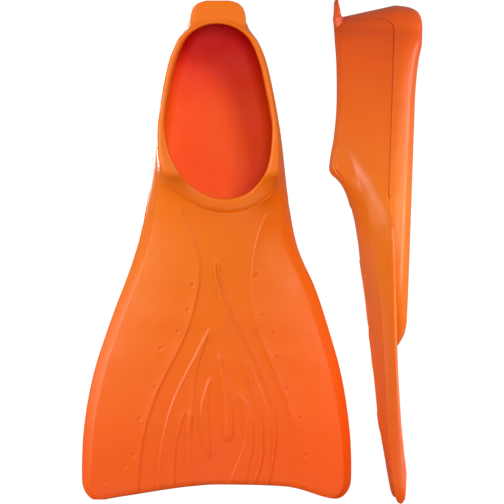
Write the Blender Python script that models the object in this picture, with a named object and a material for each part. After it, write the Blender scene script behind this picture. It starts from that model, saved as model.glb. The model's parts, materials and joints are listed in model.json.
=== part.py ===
"""A pair of closed-heel swim fins in moulded rubber. Metres, +Z up, origin on the floor under the pair's middle.

The pair stands on its blade tips, heels up. The left fin's instep faces -Y. The right fin beside it is turned a
quarter, so that its instep faces the left fin. Both fins are the same moulding. Each is laid up from rubber
plies: sole, side band, insole, quarters, vamp, collar, pull tab, toe bridge, blade web and side rails. Sizes below are in
millimetres along the fin: a station is the distance from the heel end of the pull tab towards the tip, and a
height is measured up from the plane that the heel and the blade tip lie on when the fin lies flat.
"""

import math

import bmesh
import bpy
import numpy as np
from mathutils import Matrix, Vector

MM = 0.001
LENGTH = 400.0  # from the pull tab to the blade's corners
GAP = 0.3  # between neighbouring plies
SEAM_HEIGHT = 23.0  # where the upper meets the side band
BAND_HEIGHT = 9.5  # where the side band meets the sole
VAMP_START = 148.0  # where the quarters round the heel meet the vamp over the toes

# The foot pocket
POCKET_START = 3.0
POCKET_END = 281.0
HEEL_ROUND = 24.0
HEEL_LEAN = 0.26
TOE_ROUND = 62.0
WALL = 4.5
SOLE_THICKNESS = 5.5
INSOLE_THICKNESS = 2.5
COLLAR_HEIGHT = 5.0
COLLAR_WIDTH = 7.5
OPENING_START = 20.0
OPENING_END = 157.0
OPENING_SKEW = 0.1  # the instep's edge runs a little further down on the side of the little toe

# The blade
BLADE_START = 172.0
BLADE_END = 388.0  # at the middle of the trailing edge
TIP_BOW = 15.0  # how much further the corners reach than the middle
CORNER_ROUND = 13.0
RAIL_START = 152.0
RAIL_WIDTH = 9.0
WEB_THICKNESS = 5.0
FLEX_STATION = 289.0  # the line that the blade bends about, just past the toes
FLEX_HEIGHT = 17.0
FLEX_NOTCH = 21.0  # degrees: each side of the notch leans back this far, for a bend of 35 degrees

# The pull tab
TAB_START = 0.0
TAB_HINGE = 10.4
TAB_HALF_WIDTH = 22.0
TAB_BOTTOM = 65.5
TAB_TOP = 71.5
TAB_CORNER = 10.0

# How the pair stands: where each fin's own zero point is, across and from front to back
LEFT_PLACE = (-28.7, 36.0)
RIGHT_PLACE = (122.3, 0.0)
RIGHT_LEAN = 2.1  # degrees, heel away from the left fin

SKIN_ROUGHNESS = 0.45
ORANGE = (0.90, 0.22, 0.03, 1)
DEEP_ORANGE = (0.78, 0.12, 0.03, 1)


def profile(*points):
    """A smooth curve through (station, value) points, flat where they are level. Returns a function to read it."""
    at, value = np.array(points, float).T
    steep = np.diff(value) / np.diff(at)
    turns = steep[:-1] * steep[1:] <= 0
    middle = np.where(turns, 0, 2 * steep[:-1] * steep[1:] / np.where(turns, 1, steep[:-1] + steep[1:]))
    slope = np.concatenate((steep[:1], middle, steep[-1:]))

    def read(station):
        i = int(np.clip(np.searchsorted(at, station) - 1, 0, len(at) - 2))
        width = at[i + 1] - at[i]
        t = float(np.clip((station - at[i]) / width, 0, 1))
        return float(
            (2 * t**3 - 3 * t**2 + 1) * value[i]
            + (t**3 - 2 * t**2 + t) * width * slope[i]
            + (3 * t**2 - 2 * t**3) * value[i + 1]
            + (t**3 - t**2) * width * slope[i + 1]
        )

    return read


# Half of the plan's width, from the heel to the tip
plan = profile(
    (0, 24), (22, 27), (30, 31.5), (46, 38.5), (78, 45.5), (118, 51), (158, 56.5),
    (182, 61), (198, 65), (214, 71), (238, 80.5), (262, 88.5), (278, 93.5), (302, 100),
    (318, 103), (342, 106), (366, 107.3), (398, 106.5),
)
pocket_plan = profile(
    (0, 24), (22, 27), (30, 31.5), (46, 38.5), (78, 45.5), (118, 51), (158, 56.5), (190, 59), (240, 55), (281, 52)
)
# Heights of the foot pocket: its underside, its widest line, and the rim or the vamp above
pocket_bottom = profile((0, 10), (18, 0), (36, 0), (80, 4), (262, 4), (270, 6), (281, 14))
pocket_waist = profile((0, 24), (160, 23), (240, 20), (281, 19))
rim_height = profile((0, 62), (14, 71), (46, 68), (78, 66), (118, 68.5), (130, 70), (142, 63.5), (158, 54))
vamp_height = profile((150, 57), (167, 51), (190, 45.5), (238, 36.5), (262, 31), (281, 24))
opening_plan = profile((20, 28), (46, 33.5), (66, 37.5), (90, 41.5), (112, 43.5), (128, 42.5), (142, 39), (157, 33))
# Heights of the blade's middle and of its rails
crown_height = profile((160, 27), (238, 26.5), (278, 27.5), (318, 25), (342, 21), (358, 18), (390, 11), (398, 9))
rail_top = profile((150, 23.6), (198, 22.5), (245, 20.5), (302, 19.6), (342, 18.4), (374, 13.4), (398, 8))
rail_bottom = profile((150, 21.6), (198, 17.5), (245, 13.7), (278, 11.7), (318, 9), (358, 3.5), (376, 0.5), (398, 0.4))


def point(station, x, height):
    """A point in the fin's own frame, in metres."""
    return Vector((x * MM, (LENGTH - station) * MM, height * MM))


def spaced(start, end, count):
    """Stations that crowd towards both ends, where the shape turns in."""
    return [start + (end - start) * (1 - math.cos(math.pi * i / (count - 1))) / 2 for i in range(count)]


def end_round(station, start, end, near, far):
    """From 0 at either end to 1 once past its rounding: near is the heel end's length, far the toe end's."""
    into = min(1.0, max(0.0, (station - start) / near))
    left = min(1.0, max(0.0, (end - station) / far))
    return math.sqrt(1 - (1 - into) ** 2) * math.sqrt(1 - (1 - left) ** 2)


def material(name, colour):
    made = bpy.data.materials.new(name)
    made.use_nodes = True
    shader = made.node_tree.nodes["Principled BSDF"]
    shader.inputs["Base Color"].default_value = colour
    shader.inputs["Roughness"].default_value = SKIN_ROUGHNESS
    return made


def mesh_object(name, bm):
    bmesh.ops.recalc_face_normals(bm, faces=bm.faces)
    mesh = bpy.data.meshes.new(name)
    bm.to_mesh(mesh)
    bm.free()
    made = bpy.data.objects.new(name, mesh)
    bpy.context.scene.collection.objects.link(made)
    return made


def loft(name, sections):
    """One closed solid through the sections, each a ring of the same number of points, with flat caps."""
    bm = bmesh.new()
    rings = [[bm.verts.new(p) for p in ring] for ring in sections]
    for a, b in zip(rings, rings[1:]):
        for i in range(len(a)):
            j = (i + 1) % len(a)
            bm.faces.new((a[i], a[j], b[j], b[i]))
    bm.faces.new(rings[0])
    bm.faces.new(rings[-1])
    bm.normal_update()
    bmesh.ops.triangulate(bm, faces=bm.faces)
    return mesh_object(name, bm)


def prism(name, outline, low, high):
    """A straight solid between two heights from an outline of (station, x) points."""
    return loft(name, [[point(s, x, z) for s, x in outline] for z in (low, high)])


def solve(target, other, operation):
    """Cuts, joins or keeps what target shares with other, and then removes other."""
    tool = target.modifiers.new("solve", "BOOLEAN")
    tool.operation = operation
    tool.solver = "EXACT"
    tool.object = other
    graph = bpy.context.evaluated_depsgraph_get()
    solved = bpy.data.meshes.new_from_object(target.evaluated_get(graph))
    target.modifiers.remove(tool)
    target.data = solved
    bpy.data.objects.remove(other)
    return target


def leaned(station, height):
    """The heel's back slopes forward above the seam."""
    along = min(1.0, max(0.0, (station - POCKET_START) / 70))
    return station + max(0.0, height - SEAM_HEIGHT) * HEEL_LEAN * (1 - along) ** 2 * (1 + 2 * along)


def box_ring(station, half_width, bottom, waist, top, power_low, power_high, inset=0.0, count=28):
    """A rounded-box section: flat underneath, widest at the waist. A larger power is a squarer corner."""
    ring = []
    for i in range(count):
        angle = 2 * math.pi * (i + 0.5) / count
        c, s = math.cos(angle), math.sin(angle)
        power = power_high if s > 0 else power_low
        reach = max(half_width - inset, 0.4)
        x = reach * math.copysign(abs(c) ** (2 / power), c)
        rise = (top - inset - waist) if s > 0 else (waist - bottom - inset) * 1.06
        z = waist + rise * math.copysign(abs(s) ** (2 / power), s)
        z = max(z, bottom + inset)
        ring.append(point(leaned(station, z), x, z))
    return ring


def pocket_top(station):
    """The rim round the opening, and then the vamp over the toes."""
    over = min(1.0, max(0.0, (station - 146) / 16))
    over = over * over * (3 - 2 * over)
    return rim_height(station) * (1 - over) + vamp_height(station) * over


def pocket_body(name, inset=0.0, floor=0.0, count=26):
    """The foot pocket's outside, or the space in it once inset. floor lifts the inside's bottom."""
    sections = []
    for station in spaced(POCKET_START + inset, POCKET_END - inset * 1.6, count):
        size = end_round(station, POCKET_START + inset, POCKET_END - inset * 1.6, HEEL_ROUND, TOE_ROUND)
        waist = pocket_waist(station)
        heel = min(1.0, (station - POCKET_START) / HEEL_ROUND)
        lift = 0.45 + 0.55 * math.sqrt(max(0.0, 1 - (1 - heel) ** 2))
        bottom = waist - (waist - pocket_bottom(station) - floor) * lift
        open_top = station < OPENING_END + 6
        top = pocket_top(station)
        if station > 230:
            top = waist + (top - waist) * max(0.25, size) ** 0.5
            bottom = waist - (waist - bottom) * max(0.3, size) ** 0.5
        sections.append(
            box_ring(station, pocket_plan(station) * size, bottom, waist, top, 3.2, 5.0 if open_top else 2.6, inset)
        )
    return loft(name, sections)


def opening_outline(grow=0.0, count=36):
    """The egg-shaped way in for the foot, as (station, x) points."""
    middle = (OPENING_START + OPENING_END) / 2
    half_long = (OPENING_END - OPENING_START) / 2 + grow
    outline = []
    for i in range(count):
        angle = 2 * math.pi * i / count
        station = middle - half_long * math.cos(angle)
        wide = opening_plan(min(max(station, OPENING_START), OPENING_END))
        end = math.sqrt(max(0.0, 1 - (abs(station - middle) / half_long) ** 5))
        x = math.copysign((wide + grow) * end, math.sin(angle))
        front = max(0.0, (station - middle) / half_long)
        outline.append((station + OPENING_SKEW * x * front * front, x))
    return outline


def opening_cutter(name, grow, low=30.0, high=90.0):
    return prism(name, opening_outline(grow), low, high)


def slab(name, low, high, start=-20.0, end=320.0, half_width=150.0):
    """A block between two heights, to cut plies apart with."""
    outline = ((start, -half_width), (end, -half_width), (end, half_width), (start, half_width))
    return prism(name, outline, low, high)


def ring_round(name, inner, outer, heights):
    """A closed band that follows the opening: inner and outer grow it, heights gives (low, high) at a station."""
    sections = []
    inside, outside = opening_outline(inner), opening_outline(outer)
    bm = bmesh.new()
    for (si, xi), (so, xo) in zip(inside, outside):
        corners = []
        for across, share in ((0, 0), (1, 0), (1, 0.7), (0.75, 1), (0.25, 1), (0, 0.7)):
            station = si + (so - si) * across
            low, high = heights(station)
            corners.append((station, xi + (xo - xi) * across, low + (high - low) * share))
        sections.append([bm.verts.new(point(*c)) for c in corners])
    for a, b in zip(sections, sections[1:] + sections[:1]):
        for i in range(len(a)):
            j = (i + 1) % len(a)
            bm.faces.new((a[i], a[j], b[j], b[i]))
    bm.normal_update()
    bmesh.ops.triangulate(bm, faces=bm.faces)
    return mesh_object(name, bm)


def pocket_shell(name, low, high):
    """The foot pocket's wall between two heights, with the space for the foot left open."""
    shell = pocket_body(name)
    shell = solve(shell, pocket_body("space", WALL, SOLE_THICKNESS - WALL), "DIFFERENCE")
    shell = solve(shell, slab("below", -20, low), "DIFFERENCE")
    return solve(shell, slab("above", high, 120), "DIFFERENCE")


def make_sole():
    """The outsole under the foot, and the band above it that goes round the foot and heel up to the seam."""
    sole = pocket_shell("sole", -10, BAND_HEIGHT - GAP / 2)
    band = pocket_shell("side_band", BAND_HEIGHT + GAP / 2, SEAM_HEIGHT - GAP / 2)
    return [sole, band]


def make_insole():
    """The inner ply on the sole's floor."""
    insole = pocket_body("insole", WALL + GAP + 0.9, SOLE_THICKNESS + GAP - WALL - 0.9, count=20)
    top = 4 + SOLE_THICKNESS + GAP + INSOLE_THICKNESS
    return solve(insole, slab("above_insole", top, 120), "DIFFERENCE")


def upper_ply(name, start, end):
    """One ply of the upper, between two stations and from the seam to the collar."""
    upper = pocket_shell(name, SEAM_HEIGHT + GAP / 2, 110)
    upper = solve(upper, slab("behind", -30, 120, -60, start), "DIFFERENCE")
    upper = solve(upper, slab("ahead", -30, 120, end, 340), "DIFFERENCE")
    upper = solve(upper, opening_cutter("way_in", 0.0), "DIFFERENCE")
    seat = ring_round("collar_seat", -1, COLLAR_WIDTH + GAP, lambda s: (pocket_top(s) - COLLAR_HEIGHT - 2 * GAP, 99))
    upper = solve(upper, seat, "DIFFERENCE")
    return solve(upper, tab_swing("tab_room", 3.4, -40), "DIFFERENCE")


def make_collar():
    """The thick rolled edge round the opening, wider over the instep."""
    collar = ring_round("collar", 0, COLLAR_WIDTH, lambda s: (pocket_top(s) - COLLAR_HEIGHT, pocket_top(s)))
    return solve(collar, tab_swing("tab_room", 3.4, -40), "DIFFERENCE")


def tab_swing(name, radius, back):
    """The tab's round root, and the room that it turns in."""
    height = (TAB_BOTTOM + TAB_TOP) / 2
    rings = []
    for x in (-TAB_HALF_WIDTH - 1, TAB_HALF_WIDTH + 1):
        ring = []
        for i in range(20):
            angle = 2 * math.pi * i / 20
            ring.append(point(TAB_HINGE + radius * math.cos(angle), x, height + radius * math.sin(angle)))
        rings.append(ring)
    root = loft(name, rings)
    room = slab(name + "_behind", height - radius, height + radius, back, TAB_HINGE, TAB_HALF_WIDTH + 1)
    return solve(root, room, "UNION")


def make_tab():
    """The pull tab, with a round root on the line that it bends about."""
    height = (TAB_BOTTOM + TAB_TOP) / 2
    thick = (TAB_TOP - TAB_BOTTOM) / 2
    sections = []
    for station in spaced(TAB_START, TAB_HINGE + thick, 14):
        along = min(1.0, max(0.0, (station - TAB_START) / TAB_CORNER))
        half = TAB_HALF_WIDTH - TAB_CORNER + TAB_CORNER * math.sqrt(max(0.0, 1 - (1 - along) ** 2))
        rest = station - TAB_HINGE
        grow = math.sqrt(max(0.02, 1 - (rest / thick) ** 2)) if rest > 0 else 1
        nose = min(1.0, 0.45 + 0.55 * (station - TAB_START) / 4)
        half_thick = thick * grow * nose
        ring = []
        for i in range(16):
            angle = 2 * math.pi * (i + 0.5) / 16
            c, s = math.cos(angle), math.sin(angle)
            x = half * math.copysign(abs(c) ** 0.35, c)
            ring.append(point(station, x, height + half_thick * math.copysign(abs(s) ** 0.6, s)))
        sections.append(ring)
    return loft("heel_tab", sections)


def tip_station(station, share):
    """The blade's end is bowed: its corners reach further than its middle."""
    into = min(1.0, max(0.0, (station - 300) / (BLADE_END - 300)))
    return station + TIP_BOW * into * into * share * share


def blade_half(station):
    """The blade's half-width, rounded at the corners."""
    left = min(1.0, max(0.0, (BLADE_END - station) / CORNER_ROUND))
    return plan(station) - CORNER_ROUND * (1 - math.sqrt(1 - (1 - left) ** 2))


def seam_half(station):
    """Where the web meets a rail. A rail starts narrow beside the foot."""
    grown = min(1.0, (station - RAIL_START) / 40 + 0.25)
    return min(plan(station) - RAIL_WIDTH * grown, blade_half(station) - 3)


def blade_stations(start):
    """The stations that the web and the rails share, closer together at the rounded corners."""
    along = [RAIL_START + 10 * i for i in range(23)] + [377, 381, 384, BLADE_END]
    return [station for station in along if station >= start]


def blade_web(name, columns=11):
    """The sheet between the rails, crowned above and hollow beneath."""
    sections = []
    for station in blade_stations(BLADE_START):
        half = seam_half(station) - GAP
        upper, lower = [], []
        for i in range(columns):
            share = -1 + 2 * i / (columns - 1)
            x = half * share
            at = tip_station(station, x / plan(station))
            crown = crown_height(station) - rail_top(station) + 1
            top = rail_top(station) - 1 + crown * (1 - share * share)
            thin = WEB_THICKNESS * (1 - 0.35 * max(0.0, (station - 280) / 105))
            upper.append(point(at, x, top))
            lower.append(point(at, x, top - thin))
        sections.append(upper + lower[::-1])
    return loft(name, sections)


def rail(name, side):
    """One thick edge of the blade, which starts beside the foot and runs to the corner."""
    sections = []
    for station in blade_stations(RAIL_START):
        low, high = rail_bottom(station), rail_top(station)
        inner, outer = seam_half(station), blade_half(station)
        edge = outer - (outer - inner) * 0.3
        mid, rise = (low + high) / 2, (high - low) / 2
        ring = []
        for x, z in ((inner, -1), (edge, -1), (outer, -0.35), (outer, 0.35), (edge, 1), (inner, 1)):
            at = tip_station(station, x / plan(station))
            ring.append(point(at, side * x, mid + rise * z))
        sections.append(ring)
    return loft(name, sections)


def flex_wedge(name, towards_tip):
    """Everything past the flex line, or before it, with faces that leave the notch."""
    way = 1 if towards_tip else -1
    far = way * 260
    lean = math.tan(math.radians(FLEX_NOTCH))
    rise = 60.0
    rings = []
    for x in (-160.0, 160.0):
        side = ((-way * GAP, 0.0), (-way * (GAP + rise * lean), rise), (far, rise), (far, -rise), (-way * (GAP + rise * lean), -rise))
        rings.append([point(FLEX_STATION + s, x, FLEX_HEIGHT + z) for s, z in side])
    return loft(name, rings)


def in_two(make, root_name, blade_name):
    """The same piece made twice: the part that stays with the foot, and the part that bends."""
    root = solve(make(root_name), flex_wedge("past", True), "DIFFERENCE")
    blade = solve(make(blade_name), flex_wedge("before", False), "DIFFERENCE")
    return root, blade


def make_blade():
    bridge, web = in_two(blade_web, "toe_bridge", "blade_web")
    bridge = solve(bridge, pocket_body("pocket_room", -GAP), "DIFFERENCE")
    rails = []
    for side, word in ((-1, "inner"), (1, "outer")):
        root, blade = in_two(lambda name: rail(name, side), f"rail_root_{word}", f"rail_{word}")
        root = solve(root, pocket_body("pocket_room", -GAP), "DIFFERENCE")
        rails += [root, blade]
    return [bridge, web, *rails]


def lowest(objects, matrix):
    return min((matrix @ v.co).z for o in objects for v in o.data.vertices)


def fin_frame(name, place, turn, pieces):
    """An empty that stands a fin on its blade tip: first heel up, then turned and leaned."""
    stood = turn @ Matrix.Rotation(math.radians(90), 4, "X")
    frame = bpy.data.objects.new(name, None)
    bpy.context.scene.collection.objects.link(frame)
    frame.matrix_world = Matrix.Translation((place[0] * MM, place[1] * MM, -lowest(pieces, stood))) @ stood
    return frame


def place_pair(pieces):
    """The left fin from the pieces themselves, and the right fin from the same meshes."""
    skin, inside = material("rubber", ORANGE), material("inner_rubber", DEEP_ORANGE)
    turned = Matrix.Rotation(math.radians(RIGHT_LEAN), 4, "Y") @ Matrix.Rotation(math.radians(-90), 4, "Z")
    left = fin_frame("left_fin_frame", LEFT_PLACE, Matrix(), pieces)
    right = fin_frame("right_fin_frame", RIGHT_PLACE, turned, pieces)
    for piece in pieces:
        name = piece.name
        piece.data.materials.clear()
        piece.data.materials.append(inside if name == "insole" else skin)
        piece.name = "left_" + name
        piece.parent = left
        twin = bpy.data.objects.new("right_" + name, piece.data)
        twin.parent = right
        bpy.context.scene.collection.objects.link(twin)


def main():
    for old in list(bpy.data.objects):
        bpy.data.objects.remove(old)
    uppers = [upper_ply("quarters", -50, VAMP_START - GAP / 2), upper_ply("vamp", VAMP_START + GAP / 2, 330)]
    pieces = [*make_sole(), make_insole(), *uppers, make_collar(), make_tab(), *make_blade()]
    place_pair(pieces)


main()
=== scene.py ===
"""A pair of orange rubber swim fins, standing on their blade tips, against white.

The skins are built in the fin's own millimetres: a station runs from the pull tab to the tip, x goes across,
and a height is measured from the plane of the heel and the blade tip. The CAD hinges then place each fin.
"""

import json
import math

import bmesh
import bpy
import numpy as np
from mathutils import Matrix, Vector


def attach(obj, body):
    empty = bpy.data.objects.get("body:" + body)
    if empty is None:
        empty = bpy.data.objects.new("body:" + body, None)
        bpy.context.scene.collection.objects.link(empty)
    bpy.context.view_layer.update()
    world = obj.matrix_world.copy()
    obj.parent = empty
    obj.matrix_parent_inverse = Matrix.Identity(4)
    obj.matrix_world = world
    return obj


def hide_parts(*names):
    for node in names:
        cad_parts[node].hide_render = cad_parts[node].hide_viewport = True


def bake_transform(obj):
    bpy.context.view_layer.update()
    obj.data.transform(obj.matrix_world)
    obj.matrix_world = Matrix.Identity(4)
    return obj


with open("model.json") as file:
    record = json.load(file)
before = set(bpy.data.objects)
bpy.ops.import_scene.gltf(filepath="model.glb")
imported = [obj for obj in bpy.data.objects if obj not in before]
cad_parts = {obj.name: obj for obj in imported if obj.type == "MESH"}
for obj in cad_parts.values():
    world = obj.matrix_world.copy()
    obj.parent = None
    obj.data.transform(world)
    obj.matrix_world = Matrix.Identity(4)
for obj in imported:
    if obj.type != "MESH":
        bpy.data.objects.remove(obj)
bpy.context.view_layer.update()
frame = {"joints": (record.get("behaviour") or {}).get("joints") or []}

MM = 0.001
LENGTH = 400.0
HEEL = 3.6  # station of the heel's back
SPLIT = 176.0  # where the foot's skin ends and the blade's skin starts
BLADE_END = 390.2
CORNER = 13.0
FLEX_STATION, FLEX_HEIGHT = 289.0, 17.0  # the CAD's flex hinge
HEEL_ROUND = 17.0  # the heel's plan is rounded over this length
LEAN, LEAN_LENGTH = 0.26, 28.0  # the heel's slope above the seam, and how far along it reaches
SEAM = 23.0  # the height of the seam beside the foot
SKEW = 0.13  # the instep's edge reaches further down on one side
BOW_START = 300.0  # the tip's bow grows from here
RELIEF = 1.6  # how strongly the blade's lines stand out
RIGHT_LEAN = 2.1  # the right fin's tilt in degrees
SEAM_END = 150.0  # the sole's edge leaves the outline here
WHITE = 1.05  # a strength that the camera sees as pure white


def curve(*points):
    """A smooth curve through (at, value) points that never overshoots them."""
    at, value = np.array(points, float).T
    steep = np.diff(value) / np.diff(at)
    turns = steep[:-1] * steep[1:] <= 0
    total = np.where(turns, 1, steep[:-1] + steep[1:])
    between = np.where(turns, 0, 2 * steep[:-1] * steep[1:] / total)
    slope = np.concatenate((steep[:1], between, steep[-1:]))

    def read(where):
        where = np.clip(np.asarray(where, float), at[0], at[-1])
        i = np.clip(np.searchsorted(at, where) - 1, 0, len(at) - 2)
        width = at[i + 1] - at[i]
        t = (where - at[i]) / width
        return (
            (2 * t**3 - 3 * t**2 + 1) * value[i]
            + (t**3 - 2 * t**2 + t) * width * slope[i]
            + (3 * t**2 - 2 * t**3) * value[i + 1]
            + (t**3 - t**2) * width * slope[i + 1]
        )

    return read


def smooth(low, high, value):
    t = np.clip((value - low) / (high - low), 0, 1)
    return t * t * (3 - 2 * t)


# ---- The fin's measurements ----
outline = curve(
    (HEEL, 22), (12, 22.4), (20.5, 24.6), (25, 27.4), (30, 31.2), (35, 34), (47, 38.7), (63, 42.7),
    (79, 45.7), (95, 48.2), (112, 50.8), (128, 52.6), (144, 54.4), (160, 57), (176, 59.8), (192, 63.4),
    (208, 68.6), (224, 75), (241, 81.5), (257, 87), (273, 92.2), (289, 97.2), (305, 101.2), (321, 104.4),
    (337, 106.9), (353, 108.6), (370, 109.2), (389, 108.3),
)
seam = curve(
    (5.4, 62), (8.4, 51), (11.2, 39.5), (12.9, 33.5), (14.9, 29.2), (17.6, 25.8), (21, 23.8), (27, SEAM),
    (150, SEAM),
)
lower_edge = curve(
    (150, 22.6), (175, 18), (229, 15), (278, 12.3), (302, 10.6), (321, 8.8), (338, 6.9), (356, 4.1),
    (372, 1.6), (383, 1.7), (390, 2.6),
)
rim = curve(
    (0, 71.8), (13, 71.8), (30, 70), (55, 67.4), (87, 66.2), (112, 67.6), (128, 69.8), (137, 70.4),
    (141, 68.6), (144, 65.2), (147.5, 61.6), (153, 58), (160, 55), (166, 53.4), (171, 52.3), (180, 50),
)
crest_height = curve(
    (100, 66), (112, 62), (133, 53), (147, 46.8), (162, 41.6), (185, 36), (207, 31.9), (238, 26.9),
    (265, 23.9), (311, 20.2), (347, 16.8), (375, 12.7), (388, 9),
)
crest_inset = curve(
    (100, 0.4), (115, 1.8), (140, 4.6), (162, 7.4), (185, 9.4), (240, 9.2), (300, 8.6), (350, 7.4),
    (388, 5.4),
)
crown = curve(
    (165, 52.9), (170, 51.3), (176, 49.5), (192, 46.1), (208, 43.1), (224, 40.1), (241, 37.1), (257, 34.9),
    (273, 31.8), (289, 29.4), (305, 26.8), (321, 24.8), (337, 22.6), (353, 19.1), (370, 14.7), (388, 9.9),
)
collar_outer = curve(
    (112, 49.8), (120, 49.6), (130, 49), (138, 47.6), (144, 45.4), (150, 42), (155, 37.8), (160, 31.8),
    (164, 25), (167, 17.6), (169, 9.6), (170, 0),
)
collar_foot = curve(
    (110, 65), (122, 66.2), (133, 66.4), (138, 65.4), (141, 63.4), (144, 60.6), (147, 58.4), (153, 55.4),
    (160, 53.6), (166, 52.4), (170, 51.3),
)
inner_width = curve(
    (19, 35), (39, 34.8), (57, 36.8), (65, 38), (75, 39.8), (87, 42), (100, 43.3), (110, 42.9), (120, 42.2),
    (132, 41), (146, 38.8), (158.6, 38),
)
sway = curve(
    (0, 0), (60, 0), (105, 0.9), (140, 1.3), (220, 1.3), (260, 0.5), (300, -0.3), (340, -0.8), (390, -0.9),
)
bow = curve(
    (-110, 13.6), (-96, 13.1), (-89, 11.9), (-82, 10.6), (-66, 8.1), (-45, 4.7), (-21, 1.5), (0, 0),
    (30, 0.4), (55, 1.5), (68, 3.9), (79, 7.5), (87, 10), (94, 11.4), (110, 12.6),
)
web_thickness = curve((176, 8), (230, 6), (289, 5.4), (340, 4.8), (370, 4.2), (388, 3.2))
rail_width = curve((150, 3), (176, 5), (200, 8), (230, 10.5), (350, 10.5), (388, 8))
sole_bottom = curve(
    (HEEL, 21), (4.2, 14), (4.9, 10.5), (6.9, 5.8), (9, 3.5), (12.3, 1.6), (17, 0.45), (23, 0), (33, 0),
    (47, 2.2), (63, 3.6), (80, 4.2), (258, 4.2), (266, 5.2), (273, 8), (278, 11), (281, 15),
)
sole_width = curve((150, 55.6), (160, 56.4), (176, 57.8), (195, 58.6), (225, 57), (250, 54), (281, 50))


def half_width(station):
    """Half of the fin's plan width, rounded at the heel and at the tip's corners."""
    heel = np.clip((station - HEEL) / HEEL_ROUND, 0, 1)
    left = np.clip((BLADE_END - station) / CORNER, 0, 1)
    return outline(station) * np.sqrt(1 - (1 - heel) ** 2.3) - CORNER * (1 - np.sqrt(1 - (1 - left) ** 2))


def lean(station, height):
    """The heel's back slopes forward as it rises."""
    along = np.clip((station - HEEL) / LEAN_LENGTH, 0, 1)
    return np.maximum(0, height - SEAM) * LEAN * (1 - along) ** 2 * (1 + 2 * along)


def skewed(station, x):
    """The instep's edge reaches further down on one side, and the heights go with it."""
    return station + SKEW * x * smooth(85, 135, station) * (1 - smooth(170, 235, station))


def finished(station, x, height):
    """The final station, with the heel's slope, the skewed instep and the tip's uneven bow."""
    into = np.clip((station - BOW_START) / (BLADE_END - BOW_START), 0, 1)
    return skewed(station, x) + lean(station, height) + into**2 * bow(x)


# ---- The relief on the blade: shallow steps, beads and dimples ----
# Each line gives a side, a rise and x against the station. A step is high on its left (-1) or right (1) and
# fades away from its edge. A bead (0) is a narrow ridge.
LINES = [
    # the two sweeping panels' edges
    (-1, 0.75, (
        (163, -33), (181, -24.6), (199, -18.2), (213, -15.4), (226, -15.8), (242, -18.4), (258, -22.2),
        (274, -28), (294, -37.6), (310, -45.4), (329, -52.8), (347, -57.8), (366, -61), (392, -63.2),
    )),
    (1, 0.75, (
        (170, 38), (180, 34), (189, 31), (203, 27.8), (221, 25.8), (239, 26.6), (257, 29.3), (273, 34.4),
        (289, 41.6), (307, 49.6), (323, 56), (339, 60.8), (357, 63.8), (374, 65.6), (392, 66.7),
    )),
    # the long tongue that crosses to the right
    (0, 0.7, (
        (207, -3.8), (221, -2.1), (237, 2), (257, 8.5), (276, 15.6), (294, 22.2), (311, 28.4), (329, 34.2),
        (345, 37), (361, 37.2), (376, 35), (389, 30.6),
    )),
    (0, 0.7, (
        (207, -1.6), (221, 0.6), (237, 6), (255, 14.2), (271, 22), (287, 30), (303, 37.2), (319, 43),
        (334, 46.9), (349, 47.8), (366, 46.4), (389, 41.8),
    )),
    (-1, 0.4, ((287, 25), (302, 30.6), (319, 38), (334, 42.6), (350, 44.4), (369, 43.6), (386, 41))),
    # the left tongue
    (1, 0.8, (
        (262, -6.8), (276, -13.4), (292, -21.4), (308, -29.4), (324, -36), (340, -40.8), (357, -44.4),
        (373, -46.6), (394, -47.6),
    )),
    (-1, 0.55, (
        (267, -7.4), (281, -11.8), (292, -15), (308, -17.8), (323, -18.7), (338, -19.8), (350, -20.4),
    )),
    # the short tongues between them
    (-1, 0.55, ((329, -24.4), (342, -28.6), (355, -31.8), (369, -33.4), (389, -33.8))),
    (1, 0.75, ((329, -22.6), (342, -23), (355, -23.7), (369, -23.4), (389, -21.6))),
    (1, 0.7, ((302, -5.4), (315, -10), (329, -12.8), (344, -12.4), (357, -10), (369, -6.2))),
    (-1, 0.4, ((304, -4.8), (319, -6.4), (334, -6.7), (350, -5.6), (368, -4.6))),
    (1, 0.75, ((282, -0.2), (297, 2.8), (311, 5.6), (326, 7.1), (340, 7.6), (356, 6.8))),
    (-1, 0.55, ((285, 1.4), (300, 6), (315, 10.4), (329, 12.8), (344, 13.4), (356, 11.4))),
    (1, 0.7, ((314, 16), (327, 21.2), (340, 23.7), (353, 22.9), (368, 18.9), (379, 14.1), (390, 9.6))),
    (-1, 0.45, ((316, 19), (327, 26), (340, 29.4), (353, 30.2), (366, 28.6), (388, 23.6))),
]
# station, x and radius
DIMPLES = [
    (229, -21.4, 1.9), (249, -25, 1.9), (266, -32.7, 1.7), (280, -46.4, 1.9), (311, -50, 1.8),
    (337, -62.5, 1.7), (357, -72, 1.4), (366, -67.4, 1.7), (375, -74.3, 1.7), (388, -89.4, 1.6),
    (389, -66, 1.2), (221, 30.3, 2.4), (252.6, 35.8, 1.2), (267, 45.2, 1.9), (287, 48.7, 2.1),
    (312, 56.8, 1.4), (336, 67.3, 1.8), (348, 69.7, 1.2), (366, 72.1, 1.7), (380, 77, 1.3),
    (388, 70.8, 1.2), (389, 84.2, 1.2),
]


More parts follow.
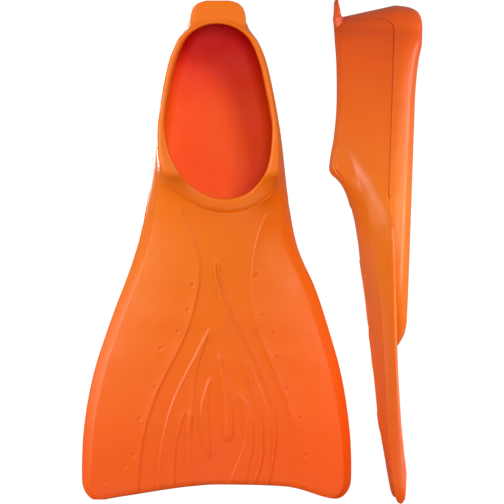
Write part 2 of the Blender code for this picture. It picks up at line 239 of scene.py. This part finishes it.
def relief(station, x):
    """How far the blade's top stands above or below its plain surface."""
    height = np.zeros_like(x)
    for side, rise, points in LINES:
        path = curve(*points)
        first, last = points[0][0], points[-1][0]
        near = (station > first - 6) & (station < last + 6)
        s, across = station[near], x[near]
        slope = path(s + 0.5) - path(s - 0.5)
        away = (across - path(s)) / np.sqrt(1 + slope**2)
        ends = smooth(first - 1, first + 5, s) * (1 - smooth(last - 5, last + 1, s) * (last < 388))
        if side:
            inward = away * side
            shape = smooth(-0.45, 0.45, inward) * np.exp(-np.maximum(inward, 0) / 5)
        else:
            shape = np.exp(-((away / 0.66) ** 2))
        height[near] += RELIEF * rise * ends * shape
    for at, across, radius in DIMPLES:
        far = np.hypot(station - at, x - across) / radius
        height -= 0.9 * (1 - smooth(0.25, 1.15, far)) * (far < 1.3)
        height += 0.16 * np.exp(-(((far - 1.35) / 0.3) ** 2))
    return height


# ---- Building skins ----
def strip(x0, z0, x1, z1, count, last=False, bend=1.0):
    """Points from one place to another on every ring at once. bend over 1 keeps x0 for longer."""
    t = np.linspace(0, 1, count, endpoint=last)[None, :]
    x0, z0, x1, z1 = (np.asarray(v, float).reshape(-1, 1) for v in (x0, z0, x1, z1))
    return x0 + (x1 - x0) * t**bend, z0 + (z1 - z0) * t


def rounded(x, z, middle, reach, times):
    """Softens the corner near one column of the rings."""
    low, high = middle - reach, min(middle + reach, x.shape[1] - 1)
    for _ in range(times):
        for values in (x, z):
            part = values[:, low - 1 : high + 1]
            values[:, low:high] = (part[:, :-2] + 2 * part[:, 1:-1] + part[:, 2:])[:, : high - low] / 4
    return x, z


def mesh_object(name, rings, closed=False, gap=None):
    """A smooth skin from a grid of points, in the fin's own metres. Faces marked in gap are left out."""
    n, m = rings.shape[:2]
    index = np.arange(n * m).reshape(n, m)
    if closed:
        index = np.hstack((index, index[:, :1]))
    quads = np.stack((index[:-1, :-1], index[1:, :-1], index[1:, 1:], index[:-1, 1:]), -1)
    quads = quads[~gap] if gap is not None else quads.reshape(-1, 4)
    mesh = bpy.data.meshes.new(name)
    mesh.from_pydata((rings.reshape(-1, 3)).tolist(), [], quads.tolist())
    mesh.polygons.foreach_set("use_smooth", [True] * len(mesh.polygons))
    mesh.update()
    made = bpy.data.objects.new(name, mesh)
    bpy.context.scene.collection.objects.link(made)
    return made


def both_sides(station, half, weld_first, weld_last):
    """Full rings from half(-1) and half(1). Halves that meet on the centre line share a welded column."""
    (left_x, left_z), (x, z) = half(-1), half(1)
    left = slice(None, 0, -1) if weld_first else slice(None, None, -1)
    full_x = np.hstack((-left_x[:, left], x))
    full_z = np.hstack((left_z[:, left], z))
    if weld_last:
        full_x, full_z = full_x[:, 1:], full_z[:, 1:]
    return np.repeat(station.reshape(-1, 1), full_x.shape[1], axis=1), full_x, full_z


def seam_line(station, height):
    """The mould's parting line goes on along the fin's side past the sole."""
    ridge = 0.35 * np.exp(-(((height - 22.4) / 0.7) ** 2))
    return ridge * smooth(146, 152, station) * (1 - smooth(215, 240, station))


def to_points(station, x, height):
    """Metres in the fin's own frame. The fin's middle sways a little to one side and back."""
    return np.stack(((x + sway(station)) * MM, (LENGTH - station) * MM, height * MM), -1)


def top_surface(s, x):
    """The vamp's and the blade's plain top, from one crest to the other."""
    xc = half_width(s) - crest_inset(s)
    power = 2.15 + 0.6 * (1 - smooth(150, 190, s))
    across = 1 - np.clip(np.abs(x) / xc, 0, 1) ** power
    outer = np.where(s < 170, collar_outer(s), 0)
    side = np.sign(x)
    foot = np.where(s < 170, collar_foot(skewed(s, side * outer * (1 - smooth(148, 168, s)))), crown(s))
    at_collar = 1 - np.clip(outer / xc, 0, 0.985) ** power * (1 - smooth(152, 172, s))
    zc = crest_height(skewed(s, side * xc))
    return zc + (foot - zc) * np.minimum(across / at_collar, 1)


def foot_skin(name):
    """The quarters and the vamp: from the seam up to under the collar."""
    s = np.unique(np.concatenate((
        HEEL + 26 * np.linspace(0, 1, 34) ** 2,
        np.arange(30, 118, 1.6),
        np.arange(118, SPLIT + 0.4, 0.75),
    )))
    s[-1] = SPLIT
    w = half_width(s)
    edge = np.where(s < SEAM_END, seam(s) + 0.05, lower_edge(s))
    xc = w - np.where(s < 100, 0.4, crest_inset(s)) * np.clip(w / 20, 0, 1)
    outer = np.where(s < 118, xc - 0.2, np.minimum(collar_outer(s), xc - 0.3))
    inside = np.maximum(outer - 4.5, 0)
    tuck = np.clip(w / 20, 0, 1)

    def half(side):
        low = rim(skewed(s, side * w) + 10 * (s < 40)) - 2.4
        zc = np.where(s < 100, low, np.minimum(crest_height(skewed(s, side * xc)), low))
        zc = np.maximum(zc, edge + 1.5)
        foot = np.where(s < 118, low, np.minimum(collar_foot(skewed(s, side * outer)), low))
        parts = [strip(w - 4 * tuck, edge, w - 0.5, edge, 3), strip(w - 0.5, edge, w, edge + 0.5, 3)]
        t = np.linspace(0, 1, 44, endpoint=False)[None, :]
        bend = 1.3 + 1.9 * smooth(176, 120, s)[:, None]
        wall_z = (edge + 0.5)[:, None] + (zc - edge - 0.5)[:, None] * t
        wall_x = w[:, None] - (w - xc)[:, None] * t**bend - seam_line(s[:, None], wall_z)
        parts.append((wall_x, wall_z))
        # from the crest to the collar's outer edge, and on under the collar
        t = np.linspace(0, 1, 84)[None, :]
        top_x = xc[:, None] + (inside - xc)[:, None] * t
        grid_s = np.repeat(s[:, None], 84, axis=1)
        share = np.clip((xc[:, None] - top_x) / np.maximum(xc - outer, 0.1)[:, None], 0, 1)
        plain = zc[:, None] + (foot - zc)[:, None] * share
        mix = smooth(126, 142, grid_s)
        top_z = plain * (1 - mix) + top_surface(grid_s, side * np.maximum(top_x, 1e-6)) * mix
        top_z = top_z - 2.5 * smooth(0.3, 2.5, outer[:, None] - top_x)
        parts.append((top_x, top_z))
        x, z = (np.hstack([p[i] for p in parts]) for i in (0, 1))
        return tuple(v[:, ::-1] for v in rounded(x, z, 50, 4, 3))

    # half() runs from the collar out to the seam, and both_sides turns the left one round
    s2, x2, z2 = both_sides(s, half, False, False)
    final = finished(s2, x2, z2)
    z2 = z2 + np.where(s2 > SEAM_END, relief(final, x2) * smooth(0, 8, final - 163), 0)
    columns = x2.shape[1]
    # the halves don't meet over the opening, and past it their points coincide and are joined
    gap = np.zeros((len(s) - 1, columns - 1), bool)
    gap[:, columns // 2 - 1] = True
    made = mesh_object(name, to_points(final, x2, z2), gap=gap)
    work = bmesh.new()
    work.from_mesh(made.data)
    bmesh.ops.remove_doubles(work, verts=work.verts, dist=1e-7)
    work.to_mesh(made.data)
    work.free()
    return made


def blade_skin(name):
    """The blade: web and rails, top and underside, closed round the tip."""
    end = 5.0
    turn = np.linspace(0, math.pi / 2, 11)[1:]
    s = np.concatenate((
        np.arange(SPLIT, BLADE_END - CORNER, 0.78),
        BLADE_END - end - 8 * np.linspace(1, 0, 10)[1:] ** 1.2,
        BLADE_END - end + end * np.sin(turn),
    ))
    thin = np.concatenate((np.ones(len(s) - len(turn)), np.cos(turn)))
    w = half_width(s)
    edge = lower_edge(s)
    xc = w - crest_inset(s)
    xr = w - rail_width(s)
    across = 122
    near, inner = (np.minimum(reach, xc * part)[:, None] for reach, part in ((60, 0.7), (93, 0.94)))

    def half(side):
        zc = crest_height(skewed(s, side * xc))
        t = np.linspace(0, 1, 12, endpoint=False)[None, :]
        under_x = xr[:, None] * t
        grid_s = np.repeat(s[:, None], 12, axis=1)
        under_z = top_surface(grid_s, side * under_x) - web_thickness(s)[:, None]
        rail_z = top_surface(s, side * xr) - web_thickness(s)
        parts = [
            (under_x, under_z),
            strip(xr, rail_z, xr + 1.6, edge, 5),
            strip(xr + 1.6, edge, w - 1.5, edge, 4),
            strip(w - 1.5, edge, w, edge + 1.7, 3),
            strip(w, edge + 1.7, xc, zc, 20, bend=1.3),
        ]
        before = sum(p[0].shape[1] for p in parts)
        t = np.linspace(0, 1, across)[None, :]
        # the relief needs the closest columns
        beside_crest = xc[:, None] + (inner - xc[:, None]) * t / 0.1
        beside_panels = inner + (near - inner) * (t - 0.1) / 0.26
        top_x = np.where(t < 0.1, beside_crest, beside_panels)
        top_x = np.where(t < 0.36, top_x, near * (1 - t) / 0.64)
        grid_s = np.repeat(s[:, None], across, axis=1)
        parts.append((top_x, top_surface(grid_s, side * top_x)))
        x, z = (np.hstack([p[i] for p in parts]) for i in (0, 1))
        x, z = rounded(x, z, before, 3, 3)
        x, z = rounded(x, z, 12, 2, 2)
        x = x - np.where(x > w[:, None] - 9, seam_line(s[:, None], z), 0)
        # the tip's edge rounds off towards the sheet's middle
        grid_s = np.repeat(s[:, None], x.shape[1], axis=1)
        top = top_surface(grid_s, side * np.minimum(x, (xc - 0.01)[:, None]))
        bottom = np.where(x < xr[:, None], top - web_thickness(grid_s), edge[:, None])
        middle = (top + bottom) / 2
        edge_middle = (top + edge[:, None]) / 2
        return x, edge_middle + (middle - edge_middle + z - middle) * thin[:, None]

    full_s, full_x, full_z = both_sides(s, half, True, True)
    final = finished(full_s, full_x, full_z)
    column = np.arange(full_x.shape[1])
    is_top = (column < across) | (column >= full_x.shape[1] - across + 1)
    full_z = full_z + np.where(is_top[None, :], relief(final, full_x) * thin[:, None], 0)
    return mesh_object(name, to_points(final, full_x, full_z), closed=True)


def sole_skin(name):
    """The outsole, the heel cup and the toe bulge, up to the seam."""
    toe_end = 281
    s = np.unique(np.concatenate((
        HEEL + 26 * np.linspace(0, 1, 40) ** 2,
        np.arange(30, 250, 2.0),
        toe_end - 33 * np.linspace(1, 0, 40) ** 1.8,
    )))
    toe = np.clip((toe_end - s) / 62, 0, 1)
    toe_width = sole_width(s) * np.sqrt(np.maximum(1 - (1 - toe) ** 2, 0))
    w = np.where(s < SEAM_END, half_width(s) + 0.35, toe_width)
    bottom = sole_bottom(s)
    top = np.where(s < SEAM_END, seam(s) - 0.05, np.minimum(22.95, bottom + 18))
    flat = w * np.clip(0.6 - 0.2 * smooth(20, 4, s), 0.2, 1)
    turn = np.minimum(top - bottom - 0.5, 17)
    angle = np.linspace(0, math.pi / 2, 26, endpoint=False)[None, :]
    parts = [strip(np.zeros_like(s), bottom, flat, bottom, 14)]
    power = 0.82
    parts.append((
        flat[:, None] + (w - flat)[:, None] * np.sin(angle) ** power,
        bottom[:, None] + turn[:, None] * (1 - np.cos(angle) ** power),
    ))
    tuck = np.clip(w / 20, 0, 1)
    parts.append(strip(w, bottom + turn, w, np.maximum(top - 0.5, bottom + turn), 14))
    parts.append(strip(w, np.maximum(top - 0.5, bottom + turn), w - 0.5 * tuck, top, 3))
    parts.append(strip(w - 0.5 * tuck, top, w - 6 * tuck, top, 3, last=True))
    rings = tuple(np.hstack([p[i] for p in parts]) for i in (0, 1))
    s2, x2, z2 = both_sides(s, lambda side: rings, True, False)
    return mesh_object(name, to_points(finished(s2, x2, z2), x2, z2))


def even(points, count):
    """A polyline's points again, evenly spaced along it."""
    points = np.asarray(points, float)
    along = np.concatenate(([0], np.cumsum(np.hypot(*np.diff(points, axis=0).T))))
    want = np.linspace(0, along[-1], count)
    return np.stack([np.interp(want, along, points[:, i]) for i in (0, 1)], -1)


def opening_edge(grow=0.0):
    """The inner edge of the opening from the heel to the instep, on the +x side."""
    middle, half = 88.8, 69.8 + grow
    angle = np.linspace(0, math.pi, 400)
    s = middle - half * np.cos(angle)
    end = np.sqrt(np.maximum(0, 1 - np.abs((s - middle) / half) ** 4))
    return np.stack((s, (inner_width(s) + grow) * end), -1)


def collar_skin(name, count=170):
    """The rolled edge: a band between the opening's inner edge and the wall or the crease on the instep."""
    s = np.concatenate((
        HEEL + 26 * np.linspace(0, 1, 80) ** 2,
        np.linspace(30, 116, 120)[1:],
        np.linspace(116, 170.5, 180)[1:],
    ))
    off_wall = smooth(96, 114, s)
    on_vamp = np.minimum(collar_outer(s), half_width(s) - crest_inset(s) - 0.3)
    wide = (half_width(s) - 0.45) * (1 - off_wall) + on_vamp * off_wall
    wide[s > 170] = 0
    outer = np.stack((s + lean(s, 68), wide), -1)
    inner, outer = even(opening_edge(), count), even(outer, count)
    # share of the way across the band, and height against the rim
    section = np.array([
        (0.34, -9.5), (0.16, -7.5), (0.04, -5), (0.0, -3.4), (0.01, -2.3), (0.05, -1.4), (0.12, -0.7),
        (0.22, -0.25), (0.34, 0), (0.46, 0.06), (0.58, -0.04), (0.7, -0.34), (0.8, -0.78), (0.88, -1.35),
        (0.95, -2.05), (0.99, -2.8), (0.95, -4.2), (0.84, -6),
    ])
    band = (8, 1)  # the band is about 8 mm across
    q, drop = (even(section * band, 40) / band).T
    s = inner[:, :1] + (outer - inner)[:, :1] * q
    x = inner[:, 1:] + (outer - inner)[:, 1:] * q
    z = np.repeat(drop[None, :], count, axis=0)
    s, x, z = (np.concatenate((v, (sign * v)[-2:0:-1])) for v, sign in ((s, 1), (x, -1), (z, 1)))
    s = skewed(s, x)
    rings = to_points(s, x, rim(s) + z)
    return mesh_object(name, np.concatenate((rings, rings[:1])), closed=True)


def lining_skin(name):
    """The inside: insole, inner walls and the roof over the toes."""
    start = HEEL + 4.5
    toe_end = 274
    s = np.unique(np.concatenate((
        start + 24 * np.linspace(0, 1, 30) ** 2,
        np.arange(30, 150, 2.0),
        np.arange(150, 162, 0.5),
        np.arange(162, 250, 3.0),
        toe_end - 24 * np.linspace(1, 0, 20) ** 1.8,
    )))
    w = np.where(s < SEAM_END, half_width(s), sole_width(s)) - 4.5
    heel = np.clip((s - start) / 18, 0, 1)
    toe = np.clip((toe_end - s) / 58, 0, 1)
    w = np.maximum(w, 6) * np.sqrt(1 - (1 - heel) ** 2.2) * np.sqrt(np.maximum(1 - (1 - toe) ** 2, 0))
    floor = 12.3 + 3 * smooth(255, toe_end, s)
    mouth = np.minimum(np.interp(s + lean(s, 60), *opening_edge(1.6).T, right=0), w)
    over = smooth(124, 140, s)  # 0 beside the opening, 1 under the vamp
    xc = half_width(s) - crest_inset(s)
    shoulder_x = np.minimum(w, (w - 0.6) * (1 - over) + (xc - 4) * over)
    beside, under = rim(s + 8 * (s < 40)) - 15, crest_height(s) - 6.5
    shoulder_z = np.maximum(beside * (1 - over) + under * over, floor + 2)
    radius = np.minimum(11, w * 0.5)
    high = np.minimum(radius, (shoulder_z - floor) * 0.6)
    angle = np.linspace(0, math.pi / 2, 16, endpoint=False)[None, :]
    parts = [strip(np.zeros_like(s), floor, w - radius, floor, 12)]
    parts.append((
        (w - radius)[:, None] + radius[:, None] * np.sin(angle),
        floor[:, None] + high[:, None] * (1 - np.cos(angle)),
    ))
    parts.append(strip(w, floor + high, shoulder_x, shoulder_z, 14))
    t = np.linspace(0, math.pi / 2, 30)[None, :]
    roof_x = mouth[:, None] + (shoulder_x - mouth)[:, None] * np.cos(t)
    grid_s = np.repeat(s[:, None], 30, axis=1)
    lip = np.minimum(rim(s), rim(s + 6.5 * smooth(100, 130, s)))[:, None] - 7.5
    beside = shoulder_z[:, None] + (lip - shoulder_z[:, None]) * np.sin(t)
    under = np.maximum(np.minimum(top_surface(grid_s, roof_x + 3), lip + 2) - 6, shoulder_z[:, None])
    parts.append((roof_x, beside * (1 - over[:, None]) + under * over[:, None]))
    x, z = (np.hstack([p[i] for p in parts]) for i in (0, 1))
    s2, x2, z2 = both_sides(s, lambda side: (x, z), True, False)
    return mesh_object(name, to_points(finished(s2, x2, z2), x2, z2))


def tab_skin(name):
    """The pull tab, which grows out of the collar at the heel."""
    plan = curve(
        (0.3, 9), (1, 12), (2.8, 16.6), (6.9, 20.4), (12.2, 22), (16.3, 22.4), (20.3, 22.3), (25.7, 21.6),
    )
    aside = 0.6  # the tab sits a little off the middle
    s = np.concatenate((0.3 + 12 * np.linspace(0, 1, 26) ** 2, np.linspace(12.3, 25.5, 22)[1:]))
    w = plan(s)
    thick = np.interp(s, [0.3, 1, 2, 4, 13, 18, 25.5], [0.4, 2.4, 3.2, 3.9, 6, 8, 8])
    top = np.interp(s, [0.3, 1, 2, 4, 13, 20, 23.5, 25.5], [69.7, 70.9, 71.4, 71.8, 72, 72, 71.4, 69])
    top = top - 0.25 * np.sin(np.clip((s - 3) / 14, 0, 1) * math.pi)
    angle = np.linspace(0, 2 * math.pi, 72, endpoint=False)[None, :]
    power = 0.32
    c, d = np.cos(angle), np.sin(angle)
    x = w[:, None] * np.sign(c) * np.abs(c) ** power
    s = np.repeat(s[:, None], 72, axis=1)
    # its corners thin out over the wall
    thick = thick[:, None] * (1 - 0.65 * smooth(16, 24, np.abs(x)) * smooth(11, 17, s))
    z = top[:, None] - thick / 2 * (1 - np.sign(d) * np.abs(d) ** 0.6)
    # its end runs along the middle of the collar
    s = np.where(s > 13, 13 + (s - 13) / 12.5 * (4.3 + 6.3 * (np.abs(x) / 20) ** 2.3), s)
    return mesh_object(name, to_points(s, x + aside, z), closed=True)


# ---- Placing ----
def joint_place(name):
    return Vector(next(j["pos_m"] for j in frame["joints"] if j["name"] == name))


def fin_matrix(side):
    """Stands a fin up where the CAD has it, found from its flex hinge."""
    turn = Matrix.Rotation(math.radians(90), 4, "X")
    if side == "right":
        facing = Matrix.Rotation(math.radians(-90), 4, "Z")
        turn = Matrix.Rotation(math.radians(RIGHT_LEAN), 4, "Y") @ facing @ turn
    hinge = Vector((0, (LENGTH - FLEX_STATION) * MM, FLEX_HEIGHT * MM))
    return Matrix.Translation(joint_place(f"{side}_blade_flex") - turn.to_3x3() @ hinge) @ turn


# ---- Materials ----
def rubber(name, warm, deep, darkest, rough, low, high, top=None):
    """Moulded rubber: a colour that changes with height, scuffs, a fine grain and uneven gloss.

    The colour is deep below the height low and warm above high, in metres, and turns to top near the heel.
    These height blends are painted shade: they darken the fins towards their tips, the right fin towards its
    heel and the lining in its deep heel.
    """
    made = bpy.data.materials.new(name)
    made.use_nodes = True
    nodes, links = made.node_tree.nodes, made.node_tree.links
    shader = nodes["Principled BSDF"]
    place = nodes.new("ShaderNodeTexCoord")
    split = nodes.new("ShaderNodeSeparateXYZ")
    links.new(place.outputs["Object"], split.inputs[0])

    def noise(scale, detail, roughness=0.5):
        made_noise = nodes.new("ShaderNodeTexNoise")
        made_noise.inputs["Scale"].default_value = scale
        made_noise.inputs["Detail"].default_value = detail
        made_noise.inputs["Roughness"].default_value = roughness
        links.new(place.outputs["Object"], made_noise.inputs["Vector"])
        return made_noise.outputs["Fac"]

    def ranged(value, a, b, c, d):
        node = nodes.new("ShaderNodeMapRange")
        for socket, number in zip(("From Min", "From Max", "To Min", "To Max"), (a, b, c, d)):
            node.inputs[socket].default_value = number
        links.new(value, node.inputs["Value"])
        return node.outputs[0]

    def mixed(share, one, two):
        node = nodes.new("ShaderNodeMix")
        node.data_type = "RGBA"
        for socket, value in ((node.inputs[0], share), (node.inputs[6], one), (node.inputs[7], two)):
            if isinstance(value, (tuple, float)):
                socket.default_value = value
            else:
                links.new(value, socket)
        return node.outputs[2]

    # painted shade: the colour blends with height, darker and redder at the fins' tips and dark crimson in
    # the lining's heel
    along = ranged(split.outputs["Z"], low, high, 1.0, 0.0)
    base = mixed(along, warm, deep)
    # painted shade: the colour turns darker near the heel, from 0.24 to 0.37 m
    if top:
        base = mixed(ranged(split.outputs["Z"], 0.24, 0.37, 0.0, 1.0), base, top)
    cloud = ranged(noise(26, 3), 0.35, 0.7, 0.0, 0.22)
    base = mixed(cloud, base, darkest)
    scuff = ranged(noise(420, 5, 0.7), 0.6, 0.78, 0.0, 0.10)
    base = mixed(scuff, base, tuple(min(1, v * 1.25 + 0.06) for v in warm[:3]) + (1,))
    links.new(base, shader.inputs["Base Color"])
    links.new(ranged(noise(55, 4), 0.3, 0.7, rough - 0.06, rough + 0.08), shader.inputs["Roughness"])
    grain = nodes.new("ShaderNodeBump")
    grain.inputs["Strength"].default_value = 0.16
    grain.inputs["Distance"].default_value = 0.0004
    links.new(noise(2600, 2), grain.inputs["Height"])
    waves = nodes.new("ShaderNodeBump")
    waves.inputs["Strength"].default_value = 0.10
    waves.inputs["Distance"].default_value = 0.004
    links.new(noise(60, 2), waves.inputs["Height"])
    links.new(grain.outputs[0], waves.inputs["Normal"])
    links.new(waves.outputs[0], shader.inputs["Normal"])
    shader.inputs["Specular IOR Level"].default_value = 0.3
    return made


BLADE_NODES = (
    "toe_bridge", "blade_web", "rail_root_inner", "rail_root_outer", "rail_inner", "rail_outer",
)


def build_fin(side, skin, sole, inside):
    """One fin's six skins, each placed and coloured in place of its hidden CAD nodes; all but the blade and
    the tab are tied to their bodies.
    """
    place = fin_matrix(side)
    foot, blade, tab = f"{side}_foot", f"{side}_blade", f"{side}_tab"
    pieces = {
        "upper": (foot_skin, skin, ("quarters", "vamp"), foot),
        "sole": (sole_skin, sole, ("sole", "side_band"), foot),
        "collar": (collar_skin, skin, ("collar",), foot),
        "lining": (lining_skin, inside, ("insole",), foot),
        "blade": (blade_skin, skin, BLADE_NODES, blade),
        "tab": (tab_skin, skin, ("heel_tab",), tab),
    }

    def at(station, height):
        return tuple(place @ Vector((0, (LENGTH - station) * MM, height * MM)))

    built = []
    for word, (make, material, nodes, body) in pieces.items():
        piece = make(f"{side}_fin_{word}")
        built.append(piece)
        piece.data.transform(place)
        piece.data.materials.append(material)
        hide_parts(*(f"{side}_{node}" for node in nodes))
        if word == "blade":
            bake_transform(piece)
        elif word == "tab":
            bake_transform(piece)
        else:
            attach(piece, body)
    return built


# ---- Floor, light and camera ----
def camera_sees(tree, seen, others, output):
    """The camera sees one shader and every other ray meets the other."""
    nodes, links = tree.nodes, tree.links
    ray, mix = nodes.new("ShaderNodeLightPath"), nodes.new("ShaderNodeMixShader")
    links.new(ray.outputs["Is Camera Ray"], mix.inputs[0])
    links.new(others.outputs[0], mix.inputs[1])
    links.new(seen.outputs[0], mix.inputs[2])
    links.new(mix.outputs[0], output)


def add_floor():
    """White to the camera, and a matt grey to the light."""
    mesh = bpy.data.meshes.new("floor")
    size, z = 8.0, -0.0028
    corners = [(-size, -size, z), (size, -size, z), (size, size, z), (-size, size, z)]
    mesh.from_pydata(corners, [], [(0, 1, 2, 3)])
    floor = bpy.data.objects.new("floor", mesh)
    bpy.context.scene.collection.objects.link(floor)
    made = bpy.data.materials.new("pale_floor")
    made.use_nodes = True
    nodes = made.node_tree.nodes
    matt = nodes["Principled BSDF"]
    matt.inputs["Base Color"].default_value = (0.5, 0.5, 0.5, 1)
    matt.inputs["Roughness"].default_value = 0.9
    matt.inputs["Specular IOR Level"].default_value = 0.0
    white = nodes.new("ShaderNodeEmission")
    white.inputs["Strength"].default_value = WHITE
    camera_sees(made.node_tree, white, matt, nodes["Material Output"].inputs["Surface"])
    mesh.materials.append(made)


def light_fin(name, pieces, whole, boxes):
    """Softboxes aimed at the pair: place, size, watts and sometimes a colour.

    The photo joins two shots, so each fin has its own softboxes, which the other fin can't shade.
    """
    aim = Vector((0, 0, 0.2))  # the middle of the pair
    lit = bpy.data.collections.new(f"{name}_lit")
    shading = bpy.data.collections.new(f"{name}_shading")
    for group, members in ((lit, pieces), (shading, whole)):
        for piece in members:
            group.objects.link(piece)
    for number, (place, size, power, *tint) in enumerate(boxes):
        light = bpy.data.lights.new(f"{name}_{number}", "AREA")
        light.shape = "RECTANGLE"
        light.size, light.size_y = size
        light.energy = power
        if tint:
            light.color = tint[0]
        made = bpy.data.objects.new(light.name, light)
        made.location = place
        made.rotation_euler = (aim - Vector(place)).to_track_quat("-Z", "Y").to_euler()
        bpy.context.scene.collection.objects.link(made)
        made.light_linking.receiver_collection = lit
        made.light_linking.blocker_collection = shading


def add_world():
    """White to the camera, and a softer grey light on the fins."""
    world = bpy.data.worlds.new("studio")
    world.use_nodes = True
    nodes = world.node_tree.nodes
    seen, light = nodes["Background"], nodes.new("ShaderNodeBackground")
    seen.inputs["Color"].default_value = (1, 1, 1, 1)
    seen.inputs["Strength"].default_value = WHITE
    light.inputs["Color"].default_value = (1, 1, 1, 1)
    light.inputs["Strength"].default_value = 0.34
    camera_sees(world.node_tree, seen, light, nodes["World Output"].inputs["Surface"])
    bpy.context.scene.world = world


def add_camera():
    """Far away and level, with the picture's width across the pair."""
    distance, across = 6.0, 0.4062
    middle_x, middle_z = -0.0009, 0.1977
    camera = bpy.data.cameras.new("camera")
    camera.sensor_width = 36
    camera.lens = 36 * distance / across
    made = bpy.data.objects.new("camera", camera)
    made.location = (middle_x, -distance, middle_z)
    made.rotation_euler = (math.radians(90), 0, 0)
    bpy.context.scene.collection.objects.link(made)
    bpy.context.scene.camera = made


# the fins' orange, lighter above 0.18 m and darker and redder below 0.03 m at the tips: painted shade where
# the light falls off towards the tips
LIT_UPPER_ORANGE, SHADED_TIP_ORANGE, DARKEST = (0.88, 0.178, 0.003, 1), (0.90, 0.115, 0.007, 1), (0.87, 0.125, 0.003, 1)
skin = rubber("orange_rubber", LIT_UPPER_ORANGE, SHADED_TIP_ORANGE, DARKEST, 0.38, 0.03, 0.18)
# the right fin's skin: the fins' orange, turning darker near the heel above 0.24 m, painted shade on the
# right fin's upper part
right_skin_shaded_heel = rubber(
    "orange_rubber_right_painted_shade", LIT_UPPER_ORANGE, SHADED_TIP_ORANGE, DARKEST, 0.38, 0.03, 0.18, top=(0.70, 0.076, 0.006, 1),
)
# the right fin's sole: a lighter orange than the fins', painted light on the side facing the lamps on the
# right, turning darker near the heel above 0.24 m, painted shade
right_sole_painted_light_and_shade = rubber(
    "orange_sole_right_painted_light_and_shade", (0.92, 0.20, 0.008, 1), (0.92, 0.19, 0.012, 1), DARKEST, 0.33, 0.03, 0.18,
    top=(0.74, 0.086, 0.006, 1),
)
# the lining: orange below 0.312 m and dark crimson above 0.366 m, painted shade and painted red reflected
# light deep in the heel
inside = rubber(
    "lining_rubber_painted_heel_shade", (0.80, 0.012, 0.010, 1), (0.90, 0.118, 0.003, 1), (0.9, 0.06, 0.005, 1),
    0.56, 0.312, 0.366,
)
left_fin = build_fin("left", skin, skin, inside)
right_fin = build_fin("right", right_skin_shaded_heel, right_sole_painted_light_and_shade, inside)
add_floor()
add_world()
SMALL, FRONT, SIDE = (0.5, 0.5), (0.9, 0.9), (0.5, 2.0)
linings = [piece for piece in left_fin + right_fin if "lining" in piece.name]
light_fin("left", [piece for piece in left_fin if piece not in linings], left_fin, [
    ((-3.2, -1.9, 0.6), SMALL, 58),
    ((-1.7, -3.3, 0.3), FRONT, 22),
    ((1.9, -3.2, 0.3), FRONT, 32),
    ((0.4, -2.1, -1.9), FRONT, 11),
    ((-2.6, -0.3, 0.8), SIDE, 16),
    ((2.0, -0.9, 1.5), SMALL, 18),
    ((-1.2, 3.4, 0.6), FRONT, 34),
])
light_fin("right", [piece for piece in right_fin if piece not in linings], right_fin, [
    ((3.0, -2.2, 0.8), SMALL, 22),
    ((-2.2, -3.0, -0.3), FRONT, 76),
    ((1.9, -3.2, 0.4), FRONT, 30),
    ((2.6, -0.3, 0.4), SIDE, 46),
    ((-3.0, 1.6, 0.8), FRONT, 9),
])
light_fin("inside", linings, left_fin + right_fin, [
    ((1.4, -2.9, 1.8), FRONT, 52),
    ((0.2, -3.7, 0.6), FRONT, 46, (1, 0.5, 0.5)),
])
add_camera()
bpy.context.scene.view_settings.view_transform = "Standard"
bpy.context.scene.view_settings.look = "None"
